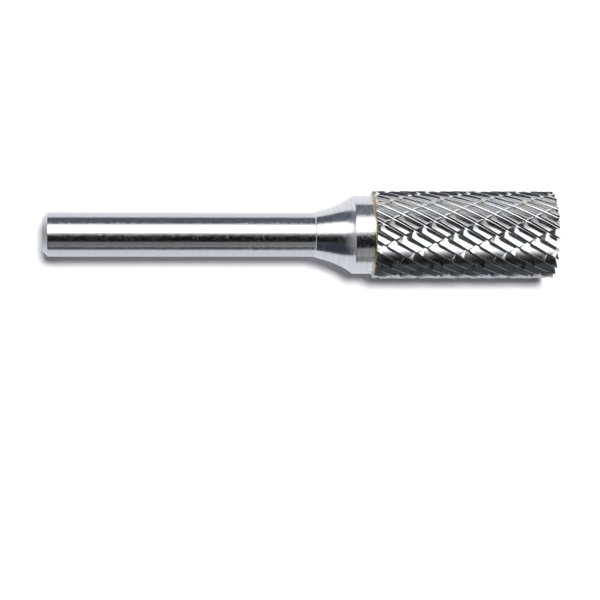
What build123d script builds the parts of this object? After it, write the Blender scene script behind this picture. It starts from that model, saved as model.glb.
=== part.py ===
from build123d import *
import math
import os

os.makedirs("parts", exist_ok=True)

# All lengths are in millimetres. The burr stands on its end-cut head, shank up.

# cutting head: a cylinder ground with a double cut on its side and an end cut; the turns
# put the first tooth and the first cross flute where the photograph shows them
head_diameter = 12.0
head_length = 25.0
flutes = 24
helix_angle = 31.75
flute_depth = 0.60
land = 0.10
rake_lead = 0.05
tooth_turn = 10.3

# cross flutes: the second, shallower cut that breaks each tooth into a row of points
cross_flutes = 11
cross_angle = 28.7
cross_depth = 0.42
cross_wall = 0.16
cross_ramp = 0.85
cross_turn = 23.0

# end cut: one radial gash behind every tooth, deepest at the rim
end_depth = 0.50
end_land = 0.12
end_centre = 0.45

# silver-solder joint between the head and the shank
braze_thickness = 0.15

# shank: plain stem, flared neck and short collar turned in one piece; the neck leaves
# the stem at a fine 45 degree shoulder and meets the collar at a bevelled corner
overall_length = 70.0
shank_diameter = 6.0
end_chamfer = 0.7
collar_clearance = 0.05
collar_length = 2.70
neck_length = 5.15
neck_shoulder = 0.10
neck_angle = 14.0
flare_angle = 37.0
collar_bevel = 0.18

head_radius = head_diameter / 2
root_radius = head_radius - flute_depth
pitch = 360.0 / flutes
flute_lead = math.pi * head_diameter / math.tan(math.radians(helix_angle))
cross_lead = math.pi * head_diameter / math.tan(math.radians(cross_angle))
land_angle = math.degrees(land / head_radius)
# the cutting edge leads the foot of its face, which starts each tooth's pitch
edge_angle = -math.degrees(rake_lead / head_radius)


def polar(radius, angle, height=0.0):
    """The point at a radius and an angle in degrees about the burr's axis."""
    turn = math.radians(angle)
    return Vector(radius * math.cos(turn), radius * math.sin(turn), height)


# One tooth of the head, as a sector from the axis out: foot of the cutting face, cutting
# edge, back of the land, and the relief's straight fall to the foot of the next tooth.
outline = [
    Vector(0, 0),
    polar(root_radius, 0),
    polar(head_radius, edge_angle),
    polar(head_radius, edge_angle + land_angle),
    polar(root_radius, pitch),
]

with BuildPart() as sector:
    with BuildSketch():
        with BuildLine():
            Polyline(*outline, close=True)
        make_face()
    sweep(
        path=Line((0, 0, 0), (0, 0, head_length)),
        binormal=Edge.make_helix(
            pitch=flute_lead,
            height=head_length,
            radius=head_radius,
        ),
    )

# The grinding wheel's path for one cross flute: a left-hand groove with a steep wall
# towards the next point and a long ramp behind it.
overrun = 0.5
ramp_slope = cross_depth / cross_ramp
wall_slope = cross_depth / cross_wall
above = 0.4
with BuildPart() as cross_cut:
    with BuildSketch(Plane.XY.offset(-overrun)):
        with BuildLine():
            Polyline(
                polar(head_radius - cross_depth, 0),
                polar(
                    head_radius + above,
                    math.degrees((cross_wall + above / wall_slope) / head_radius),
                ),
                polar(
                    head_radius + above,
                    -math.degrees((cross_ramp + above / ramp_slope) / head_radius),
                ),
                close=True,
            )
        make_face()
    sweep(
        path=Line((0, 0, -overrun), (0, 0, head_length + overrun)),
        binormal=Edge.make_helix(
            pitch=cross_lead,
            height=head_length + 2 * overrun,
            radius=head_radius,
            center=(0, 0, -overrun),
            lefthand=True,
        ),
    )

# One end gash: a wedge that starts at a point near the centre and deepens to the rim,
# its upright wall standing just ahead of the next tooth.
reach = head_radius + 1.0
wall_angle = edge_angle + pitch
ramp_angle = edge_angle + math.degrees(end_land / head_radius)
apex = polar(end_centre, (wall_angle + ramp_angle) / 2)
shallow = polar(reach, ramp_angle)
foot = polar(reach, wall_angle)
deep = polar(reach, wall_angle, end_depth * reach / head_radius)
gash_faces = [
    Face(Wire.make_polygon(corners))
    for corners in (
        [apex, shallow, deep],
        [apex, deep, foot],
        [apex, foot, shallow],
        [shallow, foot, deep],
    )
]
gash = Solid(Shell(gash_faces))

# Flutes and cross flutes have no common measure, so each tooth is notched in its own
# places. Its skin leaves out the two faces on its neighbours, which carry the axis edge.
skin = []
for tooth in range(flutes):
    turn = tooth_turn + tooth * pitch
    with BuildPart() as notched:
        add(sector.part)
        with PolarLocations(0, cross_flutes, start_angle=cross_turn - turn):
            add(cross_cut.part, mode=Mode.SUBTRACT)
        for near in (-1, 0):
            add(gash.rotate(Axis.Z, near * pitch), mode=Mode.SUBTRACT)
    axis_edge = notched.edges().sort_by_distance(Vector(0, 0, head_length / 2))[0]
    for face in notched.faces():
        if not any(edge.is_same(axis_edge) for edge in face.edges()):
            skin.append(face.rotate(Axis.Z, turn))
with BuildPart() as cutting_head:
    add(Solid(Shell(skin)))
cutting_head.part.label = "cutting_head"
export_step(cutting_head.part, "parts/cutting_head.step")

# Braze joint: the thin film of silver solder that holds the head, seen as a fine ring.
collar_radius = root_radius - collar_clearance
with BuildPart() as braze_joint:
    with BuildSketch(Plane.XY.offset(head_length)):
        Circle(collar_radius + 0.03)
    extrude(amount=braze_thickness)
braze_joint.part.label = "braze_joint"
export_step(braze_joint.part, "parts/braze_joint.step")

# Shank: half profile turned about the axis.
collar_base = head_length + braze_thickness
collar_top = collar_base + collar_length
neck_top = collar_top + neck_length
stem_radius = shank_diameter / 2
flare_foot = (collar_radius - collar_bevel, collar_top + collar_bevel)
shoulder = (stem_radius + neck_shoulder, neck_top)


def falling(angle):
    """The direction, in the half profile, at an angle in degrees from straight down."""
    return (math.sin(math.radians(angle)), -math.cos(math.radians(angle)))


with BuildPart() as shank:
    with BuildSketch(Plane.XZ):
        with BuildLine():
            Polyline(
                flare_foot,
                (collar_radius, collar_top),
                (collar_radius, collar_base),
                (0, collar_base),
                (0, overall_length),
                (stem_radius - end_chamfer, overall_length),
                (stem_radius, overall_length - end_chamfer),
                (stem_radius, neck_top + neck_shoulder),
                shoulder,
            )
            Spline(
                shoulder,
                flare_foot,
                tangents=(falling(neck_angle), falling(flare_angle)),
            )
        make_face()
    revolve(axis=Axis.Z)
shank.part.label = "shank"
export_step(shank.part, "parts/shank.step")
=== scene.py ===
"""Looks for the carbide burr: a 12 mm double-cut head brazed to a turned 6 mm steel shank.

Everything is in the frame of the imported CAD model, in metres. Sizes below are in
millimetres and angles in degrees, as in the CAD source, and are scaled on the way in.
"""

import math

import bmesh
import bpy
import numpy as np
from mathutils import Matrix, Vector


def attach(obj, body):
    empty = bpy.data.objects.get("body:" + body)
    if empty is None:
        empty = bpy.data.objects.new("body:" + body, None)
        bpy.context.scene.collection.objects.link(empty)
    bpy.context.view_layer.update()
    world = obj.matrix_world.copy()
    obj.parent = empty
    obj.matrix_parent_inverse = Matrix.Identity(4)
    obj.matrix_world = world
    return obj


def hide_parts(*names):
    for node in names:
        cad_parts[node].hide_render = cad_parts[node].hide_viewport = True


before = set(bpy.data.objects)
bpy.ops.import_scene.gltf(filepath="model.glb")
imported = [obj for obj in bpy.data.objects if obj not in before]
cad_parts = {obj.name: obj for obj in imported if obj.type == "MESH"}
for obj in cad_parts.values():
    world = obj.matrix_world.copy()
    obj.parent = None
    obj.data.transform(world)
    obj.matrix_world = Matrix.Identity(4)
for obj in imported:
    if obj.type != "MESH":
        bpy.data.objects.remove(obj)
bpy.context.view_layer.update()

MM = 0.001

# Cutting head, as in the CAD source.
HEAD_RADIUS = 6.0
HEAD_LENGTH = 25.0
FLUTES = 24
FLUTE_DEPTH = 0.60
HELIX_ANGLE = 31.75
FLUTE_LEAD = math.tau * HEAD_RADIUS / math.tan(math.radians(HELIX_ANGLE))
TOOTH_TURN = 10.3
CROSS_FLUTES = 11
CROSS_ANGLE = 28.7
CROSS_LEAD = math.tau * HEAD_RADIUS / math.tan(math.radians(CROSS_ANGLE))
CROSS_TURN = 23.0
CROSS_WALL = 0.16
CROSS_RAMP = 0.85
# The cross flutes' helix starts this far below the end of the head.
CROSS_START = 0.5
END_DEPTH = 0.50
END_LAND = 0.12
END_CENTRE = 0.45
RAKE_LEAD = 0.05

# Finish of the ground tooth, which the straight-sided CAD tooth leaves out. The relief falls
# straight from the land, meets the round gullet at a tangent, and the gullet turns up again
# to the foot of the next cutting face. The cross flutes run nearly as deep.
LAND = 0.07
EDGE_BREAK = 0.02
GULLET_RADIUS = 0.45
FOOT_ANGLE = 32.0
CROSS_DEPTH = 0.55
CROSS_BLEND = 0.14
# A cross flute shallower than this leaves the flute's floor alone.
CROSS_LEAST = 0.02

# Shank and braze, as in the CAD source.
BRAZE_THICKNESS = 0.15
BRAZE_BULGE = 0.03
COLLAR_RADIUS = 5.35
COLLAR_TOP = 27.85
COLLAR_BEVEL = 0.18
NECK_TOP = 33.0
NECK_SHOULDER = 0.10
NECK_ANGLE = 14.0
FLARE_ANGLE = 37.0
STEM_RADIUS = 3.0
OVERALL_LENGTH = 70.0
END_CHAMFER = 0.7

# Corners that the CAD source leaves sharp: the collar's rounded foot, and how far the
# chamfer's worn corners stand from the sharp ones, across and along the axis.
COLLAR_ROUND = 0.06
CHAMFER_FOOT_WEAR = (0.02, 0.03)
CHAMFER_TOP_WEAR = [(0.05, 0.06), (0.0, 0.015), (-0.05, 0.0)]

# Camera, fitted to the photograph: place in mm, directions and focal length.
CAMERA_PLACE = (-0.8165, -305.757, 64.758)
CAMERA_RIGHT = (0.000648, -0.09691, -0.99529)
CAMERA_UP = (0.99965, 0.02640, -0.00192)
CAMERA_FORWARD = (-0.02646, 0.99494, -0.09689)
CAMERA_LENS = 134.63

# Stage: the backdrop's gap behind the head, the sheets' glow to the camera, and the lamps
# that light the sheets and cast the shadow.
WALL_GAP = 0.05
FLOOR_GLOW = 0.75
WALL_GLOW = 0.0
SHEET_LIGHT_TRAVEL = (-0.185, 1, 0.05)
FLOOR_LIGHT_TRAVEL = (0, 0, -1)
LAMP_STRENGTH = 3.3
LAMP_SPREAD = 12

# What the sheets' shadow still gets from the room.
AMBIENT = (0.06, 0.07, 0.09)


# ---------------------------------------------------------------- head geometry

def polar(radius, degrees):
    """Point of the transverse plane, as a complex number."""
    return radius * np.exp(1j * math.radians(degrees))


def corner(before, at, after, blend, steps):
    """Points that round the corner at, starting blend from it on each side."""
    start = at + (before - at) / abs(before - at) * blend
    end = at + (after - at) / abs(after - at) * blend
    t = np.linspace(0, 1, steps)
    return list((1 - t) ** 2 * start + 2 * t * (1 - t) * at + t ** 2 * end)


def tooth_outline():
    """One tooth's outline, unrolled: distance along the rim from its edge, and height.

    It runs from the foot of the cutting face up to the edge, over the land, down the
    relief and round the gullet to the foot of the next face.
    """
    pitch = math.tau * HEAD_RADIUS / FLUTES
    rise = math.radians(FOOT_ANGLE)
    heel = complex(LAND, 0)
    floor = GULLET_RADIUS - FLUTE_DEPTH
    centre = complex(pitch + RAKE_LEAD - GULLET_RADIUS * math.sin(rise), floor)
    # The relief is the tangent from the heel to the gullet's circle.
    away = centre - heel
    fall = math.asin(GULLET_RADIUS / abs(away)) - math.atan2(away.imag, away.real)
    turns = np.linspace(-fall, rise, 10)
    gullet = centre + GULLET_RADIUS * (np.sin(turns) - 1j * np.cos(turns))
    foot = gullet[-1] - pitch
    edge = [complex(0, -EDGE_BREAK), complex(EDGE_BREAK, 0)]
    face = foot + (edge[0] - foot) * np.array([0.0, 0.06, 0.4, 0.7])
    relief = heel + (gullet[0] - heel) * np.array([0.0, 0.25, 0.5, 0.75])
    return list(face) + edge + list(relief) + list(gullet[:-1])


def notch_section(depth):
    """A cross flute's section where it is depth deep: along the cut's pitch, and down."""
    ramp = depth * CROSS_RAMP / CROSS_DEPTH
    wall = depth * CROSS_WALL / CROSS_DEPTH
    left, low, right = complex(-ramp, 0), complex(0, depth), complex(wall, 0)
    blend = min(CROSS_BLEND, 0.7 * abs(low - right))
    return [left, (left + low) / 2] + corner(left, low, right, blend, 4) + [right]


def head_lines():
    """Grid of the double-cut skin: one line of points along the flute for each outline point.

    Along a line, the points stand where the line enters, crosses and leaves each cross
    flute. Returns every line's points, its first cross flute's number, and the number of
    points from one cross flute to the next.
    """
    step = 360 / CROSS_FLUTES
    rate = 360 / FLUTE_LEAD + 360 / CROSS_LEAD
    lead_in = 360 * CROSS_START / CROSS_LEAD
    floor_radius = HEAD_RADIUS - CROSS_DEPTH
    # The spare cross flutes let every line run past both ends of the head.
    spare = 4
    periods = int(HEAD_LENGTH * rate / step) + spare
    between = 6
    outline = tooth_outline()
    lines, firsts = [], []
    for tooth in range(FLUTES):
        for point in outline:
            radius = HEAD_RADIUS + point.imag
            along = math.degrees((point.real - RAKE_LEAD) / HEAD_RADIUS)
            angle = along + TOOTH_TURN + tooth * 360 / FLUTES
            depth = max(radius - floor_radius, 0.0)
            section = notch_section(max(depth, CROSS_LEAST))
            s = np.degrees(np.array([p.real for p in section]) / HEAD_RADIUS)
            down = np.array([p.imag for p in section]) * (depth > CROSS_LEAST)
            # More points stand between this cross flute and the next.
            gap = np.linspace(s[-1], s[0] + step, between + 2)[1:-1]
            s = np.concatenate([s, gap])
            down = np.tile(np.concatenate([down, np.zeros(len(gap))]), periods)
            first = math.floor((angle - CROSS_TURN) / step) - 1
            turns = CROSS_TURN + np.repeat(np.arange(first, first + periods) * step, len(s))
            z = (turns + np.tile(s, periods) - angle - lead_in) / rate
            r = radius - down
            theta = np.radians(angle + 360 * z / FLUTE_LEAD)
            lines.append(np.stack([r * np.cos(theta), r * np.sin(theta), z], axis=1))
            firsts.append(first)
    return np.array(lines), firsts, len(s)


def mesh_from(name, points, faces):
    mesh = bpy.data.meshes.new(name)
    mesh.from_pydata((np.asarray(points) * MM).tolist(), [], faces)
    mesh.update()
    return mesh


def head_mesh():
    """The double-cut skin, cut to length and closed with flat ends."""
    lines, firsts, period = head_lines()
    count, length = lines.shape[:2]
    faces = []
    for line in range(count):
        here = line * length
        there = (line + 1) % count * length
        # The next line's points may start from a later cross flute.
        ahead = firsts[line + 1] if line + 1 < count else firsts[0] + CROSS_FLUTES
        offset = (ahead - firsts[line]) * period
        for i in range(offset, length - 1):
            faces.append((here + i, there + i - offset, there + i + 1 - offset, here + i + 1))
    mesh = mesh_from("head_skin", lines.reshape(-1, 3), faces)
    merge = 1e-7
    bm = bmesh.new()
    bm.from_mesh(mesh)
    for height, direction in ((0.0, -1), (HEAD_LENGTH, 1)):
        bmesh.ops.bisect_plane(
            bm,
            geom=bm.verts[:] + bm.edges[:] + bm.faces[:],
            dist=merge,
            plane_co=(0, 0, height * MM),
            plane_no=(0, 0, direction),
            clear_outer=True,
        )
    bmesh.ops.holes_fill(bm, edges=[e for e in bm.edges if e.is_boundary], sides=0)
    bmesh.ops.recalc_face_normals(bm, faces=bm.faces)
    bm.to_mesh(mesh)
    bm.free()
    return mesh


def gash_mesh():
    """The end cut's wedges, one behind each tooth, deepest at the rim."""
    reach = HEAD_RADIUS + 1.0
    edge = -math.degrees(RAKE_LEAD / HEAD_RADIUS)
    ramp = edge + math.degrees(END_LAND / HEAD_RADIUS)
    wall = edge + 360 / FLUTES
    below = -0.3
    points, faces = [], []
    for tooth in range(FLUTES):
        turn = TOOTH_TURN + tooth * 360 / FLUTES
        apex = polar(END_CENTRE, turn + (ramp + wall) / 2)
        shallow = polar(reach, turn + ramp)
        deep = polar(reach, turn + wall)
        n = len(points)
        points += [
            (apex.real, apex.imag, 0),
            (shallow.real, shallow.imag, 0),
            (deep.real, deep.imag, END_DEPTH * reach / HEAD_RADIUS),
            (apex.real, apex.imag, below),
            (shallow.real, shallow.imag, below),
            (deep.real, deep.imag, below),
        ]
        for face in ((0, 1, 2), (3, 5, 4), (0, 3, 4, 1), (1, 4, 5, 2), (2, 5, 3, 0)):
            faces.append([n + i for i in face])
    return mesh_from("gashes", points, faces)


def add_object(name, mesh):
    item = bpy.data.objects.new(name, mesh)
    bpy.context.scene.collection.objects.link(item)
    return item


def apply_modifiers(item):
    """Bakes the modifiers into the mesh."""
    graph = bpy.context.evaluated_depsgraph_get()
    made = bpy.data.meshes.new_from_object(item.evaluated_get(graph))
    item.modifiers.clear()
    item.data = made


def smooth(item, sharp_degrees):
    """Smooth shading broken at sharp edges, with broad faces keeping their own normals."""
    for polygon in item.data.polygons:
        polygon.use_smooth = True
    item.data.set_sharp_from_angle(angle=math.radians(sharp_degrees))
    weighted = item.modifiers.new("weighted", "WEIGHTED_NORMAL")
    weighted.keep_sharp = True
    weighted.weight = 80


def build_head():
    head = add_object("burr_head", head_mesh())
    cutter = add_object("gash_cutter", gash_mesh())
    cut = head.modifiers.new("end_cut", "BOOLEAN")
    cut.operation = "DIFFERENCE"
    cut.solver = "MANIFOLD"
    cut.object = cutter
    apply_modifiers(head)
    bpy.data.objects.remove(cutter)
    smooth(head, 20)
    return head


# ---------------------------------------------------------------- turned pieces

def arc(centre, radius, first, last, steps):
    """Points of a circular arc in the half profile, angles from +r towards +z."""
    turn = np.radians(np.linspace(first, last, steps))
    return [(centre[0] + radius * math.cos(a), centre[1] + radius * math.sin(a)) for a in turn]


def lathe(name, profile, segments=192):
    """Turns a half profile of (radius, height) about Z; both its ends lie on the axis."""
    points = [(0, 0, profile[0][1]), (0, 0, profile[-1][1])]
    rings = profile[1:-1]
    for radius, height in rings:
        for i in range(segments):
            a = math.tau * i / segments
            points.append((radius * math.cos(a), radius * math.sin(a), height))
    faces = []
    top = 2 + (len(rings) - 1) * segments
    for i in range(segments):
        j = (i + 1) % segments
        faces.append((0, 2 + i, 2 + j))
        faces.append((1, top + j, top + i))
        for ring in range(len(rings) - 1):
            low = 2 + ring * segments
            high = low + segments
            faces.append((low + i, high + i, high + j, low + j))
    mesh = mesh_from(name, points, faces)
    bm = bmesh.new()
    bm.from_mesh(mesh)
    bmesh.ops.recalc_face_normals(bm, faces=bm.faces)
    bm.to_mesh(mesh)
    bm.free()
    return add_object(name, mesh)


def neck_curve(steps):
    """The flare from the collar's bevel up to the stem, as the CAD source's spline."""
    start = np.array([COLLAR_RADIUS - COLLAR_BEVEL, COLLAR_TOP + COLLAR_BEVEL])
    end = np.array([STEM_RADIUS + NECK_SHOULDER, NECK_TOP])
    span = np.linalg.norm(end - start)
    flare, rise = math.radians(FLARE_ANGLE), math.radians(NECK_ANGLE)
    leave = np.array([-math.sin(flare), math.cos(flare)]) * span
    arrive = np.array([-math.sin(rise), math.cos(rise)]) * span
    t = np.linspace(0, 1, steps)[:, None]
    points = (
        (2 * t ** 3 - 3 * t ** 2 + 1) * start
        + (t ** 3 - 2 * t ** 2 + t) * leave
        + (3 * t ** 2 - 2 * t ** 3) * end
        + (t ** 3 - t ** 2) * arrive
    )
    return [tuple(p) for p in points]


def build_shank():
    """The steel shank, turned from its brazed face to its chamfered end."""
    base = HEAD_LENGTH + BRAZE_THICKNESS
    shoulder = NECK_TOP + NECK_SHOULDER
    chamfer_foot = OVERALL_LENGTH - END_CHAMFER
    chamfer_top = STEM_RADIUS - END_CHAMFER
    foot_in, foot_up = CHAMFER_FOOT_WEAR
    # Rings on the flat faces and beside the corners, which keep the shading even.
    base_rings = [(2.0, base), (4.0, base)]
    collar_rings = np.linspace(base + 0.3, COLLAR_TOP - 0.05, 6)
    stem_rings = np.linspace(shoulder, chamfer_foot - 0.08, 60)
    end_ring = (1.2, OVERALL_LENGTH)
    half = NECK_SHOULDER / 2

    profile = [(0, base)] + base_rings
    profile += arc((COLLAR_RADIUS - COLLAR_ROUND, base + COLLAR_ROUND), COLLAR_ROUND, -90, 0, 5)
    profile += [(COLLAR_RADIUS, height) for height in collar_rings]
    profile += neck_curve(40)
    profile += [(STEM_RADIUS + half, shoulder - half)]
    profile += [(STEM_RADIUS, height) for height in stem_rings]
    profile += [(STEM_RADIUS - foot_in, chamfer_foot + foot_up)]
    profile += [(chamfer_top + out, OVERALL_LENGTH - down) for out, down in CHAMFER_TOP_WEAR]
    profile += [end_ring, (0, OVERALL_LENGTH)]
    shank = lathe("turned_shank", profile)
    smooth(shank, 24)
    return shank


def build_braze():
    """A bead of solder that bulges a little between the collar and the head."""
    low, high = HEAD_LENGTH, HEAD_LENGTH + BRAZE_THICKNESS
    radius = COLLAR_RADIUS + BRAZE_BULGE
    middle = (low + high) / 2
    half = BRAZE_THICKNESS / 2
    inner = 3.0
    profile = [(0, low), (inner, low)]
    profile += arc((radius - half, middle), half, -90, 90, 9)
    profile += [(inner, high), (0, high)]
    bead = lathe("braze_bead", profile)
    smooth(bead, 60)
    return bead


# ---------------------------------------------------------------- materials

class Nodes:
    """Short way to add and link the nodes of one tree."""

    def __init__(self, tree):
        self.tree = tree
        tree.nodes.clear()

    def add(self, kind, inputs=None, **settings):
        node = self.tree.nodes.new(kind)
        for key, value in settings.items():
            setattr(node, key, value)
        for key, value in (inputs or {}).items():
            socket = node.inputs[key]
            if isinstance(value, bpy.types.NodeSocket):
                self.tree.links.new(value, socket)
            else:
                socket.default_value = value
        return node

    def math(self, operation, a, b=0.0):
        return self.add("ShaderNodeMath", {0: a, 1: b}, operation=operation).outputs[0]

    def noise(self, vector, scale, detail=2.0, roughness=0.5):
        inputs = {"Vector": vector, "Scale": scale, "Detail": detail, "Roughness": roughness}
        return self.add("ShaderNodeTexNoise", inputs).outputs["Fac"]

    def remap(self, value, low, high, to_low, to_high):
        inputs = {"Value": value, 1: low, 2: high, 3: to_low, 4: to_high}
        return self.add("ShaderNodeMapRange", inputs).outputs[0]

    def mix(self, factor, a, b, blend="MIX"):
        node = self.add("ShaderNodeMix", data_type="RGBA", blend_type=blend)
        for index, value in ((0, factor), (6, a), (7, b)):
            if isinstance(value, bpy.types.NodeSocket):
                self.tree.links.new(value, node.inputs[index])
            else:
                node.inputs[index].default_value = value
        return node.outputs[2]

    def scaled(self, vector, scale):
        inputs = {"Vector": vector, "Scale": scale}
        return self.add("ShaderNodeMapping", inputs, vector_type="POINT").outputs[0]


def new_material(name):
    material = bpy.data.materials.new(name)
    material.use_nodes = True
    return material, Nodes(material.node_tree)


def finish_material(nodes, inputs):
    shader = nodes.add("ShaderNodeBsdfPrincipled", inputs)
    nodes.add("ShaderNodeOutputMaterial", {"Surface": shader.outputs[0]})


def carbide_material():
    """Ground tungsten carbide: satin grey, with fine wheel marks along the flutes."""
    wheel_marks = (9000, 9000, 350)
    wheel_patches = (900, 900, 300)
    tint_patches = (420, 420, 420)
    dark, pale = (0.50, 0.505, 0.51, 1), (0.60, 0.60, 0.60, 1)
    cool, warm = (0.97, 1.0, 1.02, 1), (1.02, 1.0, 0.98, 1)
    mark_depth = 0.003 * MM

    material, n = new_material("ground_carbide")
    place = n.add("ShaderNodeTexCoord").outputs["Object"]
    height = n.add("ShaderNodeSeparateXYZ", {0: place}).outputs["Z"]
    # Turning the space back by the helix makes the flutes run straight up in it.
    twist = n.math("MULTIPLY", height, -math.tau / (FLUTE_LEAD * MM))
    inputs = {"Vector": place, "Angle": twist}
    straight = n.add("ShaderNodeVectorRotate", inputs, rotation_type="Z_AXIS").outputs[0]
    marks = n.noise(n.scaled(straight, wheel_marks), 1.0, 3.0, 0.6)
    patches = n.noise(n.scaled(straight, wheel_patches), 1.0, 3.0, 0.55)
    tint = n.noise(n.scaled(place, tint_patches), 1.0, 2.0)
    grey = n.mix(n.remap(marks, 0.3, 0.7, 0, 1), dark, pale)
    cast = n.mix(n.remap(tint, 0.4, 0.6, 0, 1), cool, warm)
    rough = n.remap(n.math("ADD", marks, patches), 0.7, 1.3, 0.14, 0.24)
    bump = n.add("ShaderNodeBump", {"Height": marks, "Strength": 0.3, "Distance": mark_depth})
    finish_material(n, {
        "Base Color": n.mix(1.0, grey, cast, "MULTIPLY"),
        "Metallic": 1.0,
        "Roughness": rough,
        "Normal": bump.outputs[0],
    })
    return material


def steel_material():
    """Turned and polished steel: fine marks round the shank, mottled by small pits."""
    ring_marks = (220, 220, 5200)
    pit_cells = (4200, 4200, 4200)
    stain_cells = (900, 900, 900)
    dark, pale = (0.66, 0.66, 0.67, 1), (0.77, 0.77, 0.78, 1)
    straw = (0.60, 0.49, 0.30, 1)
    mark_depth = 0.008 * MM
    # The neck and collar are turned, with stronger rings than the ground stem.
    stem_start, neck_end = (NECK_TOP + 0.15) * MM, NECK_TOP * MM
    # The torch left a straw heat colour on the collar beside the solder, with a ragged edge.
    heat_full = (HEAD_LENGTH - 0.25) * MM
    heat_none = (HEAD_LENGTH + BRAZE_THICKNESS) * MM
    heat_ragged = 0.9 * MM

    material, n = new_material("turned_steel")
    place = n.add("ShaderNodeTexCoord").outputs["Object"]
    height = n.add("ShaderNodeSeparateXYZ", {0: place}).outputs["Z"]
    marks = n.noise(n.scaled(place, ring_marks), 1.0, 3.0, 0.6)
    pits = n.noise(n.scaled(place, pit_cells), 1.0, 2.0, 0.6)
    rings = n.math("MULTIPLY", marks, n.remap(height, stem_start, neck_end, 0.4, 1.0))
    texture = n.math("ADD", rings, n.math("MULTIPLY", pits, 0.5))
    colour = n.mix(n.remap(texture, 0.45, 0.85, 0, 1), dark, pale)
    rough = n.remap(pits, 0.38, 0.66, 0.06, 0.25)
    bump = n.add("ShaderNodeBump", {"Height": texture, "Strength": 0.8, "Distance": mark_depth})
    tangent = n.add("ShaderNodeTangent", direction_type="RADIAL", axis="Z")
    ragged = n.math("MULTIPLY", n.noise(n.scaled(place, stain_cells), 1.0, 3.0), heat_ragged)
    heat = n.remap(n.math("SUBTRACT", height, ragged), heat_full, heat_none, 1, 0)
    finish_material(n, {
        "Base Color": n.mix(heat, colour, straw),
        "Metallic": 1.0,
        "Roughness": rough,
        "Anisotropic": 0.5,
        "Tangent": tangent.outputs[0],
        "Normal": bump.outputs[0],
    })
    return material


def braze_material():
    """Silver solder with a golden film from the torch."""
    film_patches = (1200, 1200, 3000)
    golden, silver = (0.70, 0.55, 0.30, 1), (0.80, 0.74, 0.58, 1)
    patch_depth = 0.02 * MM

    material, n = new_material("silver_solder")
    place = n.add("ShaderNodeTexCoord").outputs["Object"]
    blotch = n.noise(n.scaled(place, film_patches), 1.0, 3.0)
    bump = n.add("ShaderNodeBump", {"Height": blotch, "Strength": 0.5, "Distance": patch_depth})
    finish_material(n, {
        "Base Color": n.mix(n.remap(blotch, 0.35, 0.65, 0, 1), golden, silver),
        "Metallic": 1.0,
        "Roughness": n.remap(blotch, 0.3, 0.7, 0.25, 0.4),
        "Normal": bump.outputs[0],
    })
    return material


def stage_material(name, glow):
    """White sheet that keeps shadows, may glow to the camera, and has a clear back."""
    material, n = new_material(name)
    sheet = n.add("ShaderNodeBsdfDiffuse", {"Color": (0.92, 0.92, 0.92, 1)})
    seen = n.add("ShaderNodeLightPath").outputs["Is Camera Ray"]
    light = n.add("ShaderNodeEmission", {0: (1, 1, 1, 1), 1: n.math("MULTIPLY", seen, glow)})
    lit = n.add("ShaderNodeAddShader", {0: sheet.outputs[0], 1: light.outputs[0]})
    clear = n.add("ShaderNodeBsdfTransparent")
    back = n.add("ShaderNodeNewGeometry").outputs["Backfacing"]
    both = n.add("ShaderNodeMixShader", {0: back, 1: lit.outputs[0], 2: clear.outputs[0]})
    n.add("ShaderNodeOutputMaterial", {"Surface": both.outputs[0]})
    return material


# ---------------------------------------------------------------- stage, light, camera

def stage_sheet(name, corners, glow):
    """A sheet that only the camera sees; in the metal, the studio stands for it."""
    mesh = mesh_from(name, corners, [(0, 1, 2, 3)])
    sheet = add_object(name, mesh)
    sheet.data.materials.append(stage_material("white_" + name, glow))
    sheet.visible_glossy = False
    sheet.visible_diffuse = False
    sheet.visible_shadow = False
    sheet.visible_transmission = False
    return sheet


def build_stage():
    wide = 900
    back = HEAD_RADIUS + WALL_GAP
    flat = [(-wide, -wide, 0), (wide, -wide, 0), (wide, wide, 0), (-wide, wide, 0)]
    upright = [(-wide, back, -wide), (wide, back, -wide), (wide, back, wide), (-wide, back, wide)]
    floor = stage_sheet("floor", flat, FLOOR_GLOW)
    wall = stage_sheet("backdrop", upright, WALL_GLOW)


def add_sun(name, travel):
    """A lamp for the sheets' light and shadow; the metal shows the studio instead."""
    light = bpy.data.lights.new(name, "SUN")
    light.energy = LAMP_STRENGTH
    light.angle = math.radians(LAMP_SPREAD)
    lamp = add_object(name, light)
    lamp.rotation_mode = "QUATERNION"
    lamp.rotation_quaternion = Vector(travel).to_track_quat("-Z", "Y")
    lamp.visible_glossy = False


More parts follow.
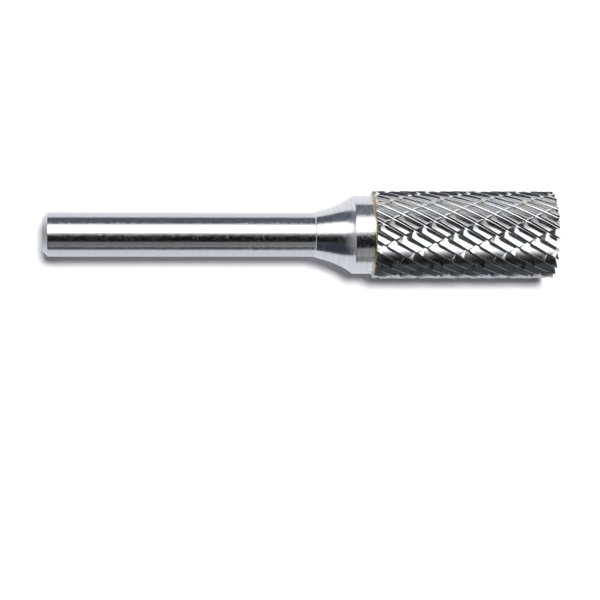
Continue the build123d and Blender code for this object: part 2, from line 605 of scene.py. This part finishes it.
# The studio: soft boxes and dark cards round the burr, over a white tent. Each has its angles
# about the burr's axis, from the camera's side towards -X, its angles along the axis, towards
# +Z, the softness of both, and its light. A later one covers those before it.
TENT = (0.95, 0.97, 1.02)
WHOLE = (-90, 90)
CARDS = {
    "behind": ((173, 190), WHOLE, (8, 1), (0.35, 0.36, 0.38)),
    "behind_above": ((-190, -173), WHOLE, (8, 1), (0.35, 0.36, 0.38)),
    "table": ((90, 173), WHOLE, (4, 1), (0.80, 0.82, 0.89)),
    "top_card_right": ((-122, -57), (-90, -12), (5, 5), (0.72, 0.72, 0.73)),
    "top_card": ((-101, -56), (-12, 90), (4, 5), (0.095, 0.11, 0.14)),
    "top_gap": ((-56, -48), WHOLE, (3, 1), (1.0, 1.0, 1.0)),
    "soft_box_right": ((-80, -45), (-90, -28), (4, 4), (2.2, 2.2, 2.2)),
    "soft_box": ((-48, -10), WHOLE, (4, 1), (2.6, 2.6, 2.65)),
    "front_edge": ((-3, 44), WHOLE, (7, 1), (0.045, 0.045, 0.045)),
    "camera_side": ((10, 41), WHOLE, (5, 1), (0.008, 0.008, 0.009)),
    "table_edge": ((44, 64), WHOLE, (3, 1), (0.20, 0.205, 0.205)),
    "low_card": ((65, 88), WHOLE, (3, 1), (0.075, 0.09, 0.11)),
    "collar_card": ((44, 92), (-15, -7.5), (6, 1.5), (0.42, 0.42, 0.40)),
    "neck_card": ((40, 88), (12, 90), (5, 4), (0.035, 0.045, 0.06)),
    "head_card": ((40, 104), (-90, -17), (5, 1.5), (0.07, 0.08, 0.085)),
}
# Grey ends close the studio along the axis, blending in from this share of the way.
ENDS = (0.42, 0.43, 0.45)
ENDS_START = 0.70


def build_world():
    """White to the camera, the studio in reflections, and dim to the sheets' diffuse rays."""
    world = bpy.data.worlds.new("studio")
    world.use_nodes = True
    world.cycles.sampling_method = "NONE"
    bpy.context.scene.world = world
    n = Nodes(world.node_tree)
    direction = n.add("ShaderNodeTexCoord").outputs["Generated"]
    parts = n.add("ShaderNodeSeparateXYZ", {0: direction}).outputs
    turn = n.math("ARCTAN2", n.math("MULTIPLY", parts[0], -1), n.math("MULTIPLY", parts[1], -1))
    around = n.math("MULTIPLY", turn, 180 / math.pi)
    along = n.math("MULTIPLY", n.math("ARCSINE", parts[2]), 180 / math.pi)

    def window(value, limits, soft):
        rise = n.remap(value, limits[0] - soft, limits[0] + soft, 0, 1)
        fall = n.remap(value, limits[1] - soft, limits[1] + soft, 1, 0)
        return n.math("MULTIPLY", rise, fall)

    studio = (*TENT, 1)
    for span, reach, soft, light in CARDS.values():
        mask = n.math("MULTIPLY", window(around, span, soft[0]), window(along, reach, soft[1]))
        studio = n.mix(mask, studio, (*light, 1))
    ends = n.remap(n.math("ABSOLUTE", parts[2]), ENDS_START, 1.0, 0, 1)
    studio = n.mix(ends, studio, (*ENDS, 1))
    path = n.add("ShaderNodeLightPath").outputs
    colour = n.mix(path["Is Diffuse Ray"], studio, (*AMBIENT, 1))
    colour = n.mix(path["Is Camera Ray"], colour, (1, 1, 1, 1))
    light = n.add("ShaderNodeBackground", {"Color": colour, "Strength": 1.0})
    n.add("ShaderNodeOutputWorld", {"Surface": light.outputs[0]})


def build_camera():
    data = bpy.data.cameras.new("camera")
    data.sensor_width = 36
    data.lens = CAMERA_LENS
    data.clip_start = 0.01
    data.clip_end = 10
    camera = add_object("camera", data)
    right, up, forward = Vector(CAMERA_RIGHT), Vector(CAMERA_UP), Vector(CAMERA_FORWARD)
    turn = Matrix((right, up, -forward)).transposed()
    camera.matrix_world = Matrix.Translation(Vector(CAMERA_PLACE) * MM) @ turn.to_4x4()
    bpy.context.scene.camera = camera


def mount(item, material, node):
    """Gives a piece its material and its place in the frame, and hides the CAD node it stands
    for.
    """
    item.data.materials.clear()
    item.data.materials.append(material)
    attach(item, "root")
    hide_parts(node)


build_camera()
build_world()
build_stage()
add_sun("sheet_light", SHEET_LIGHT_TRAVEL)
add_sun("floor_light", FLOOR_LIGHT_TRAVEL)
mount(build_head(), carbide_material(), "cutting_head")
mount(build_shank(), steel_material(), "shank")
mount(build_braze(), braze_material(), "braze_joint")
bpy.context.scene.view_settings.view_transform = "Standard"
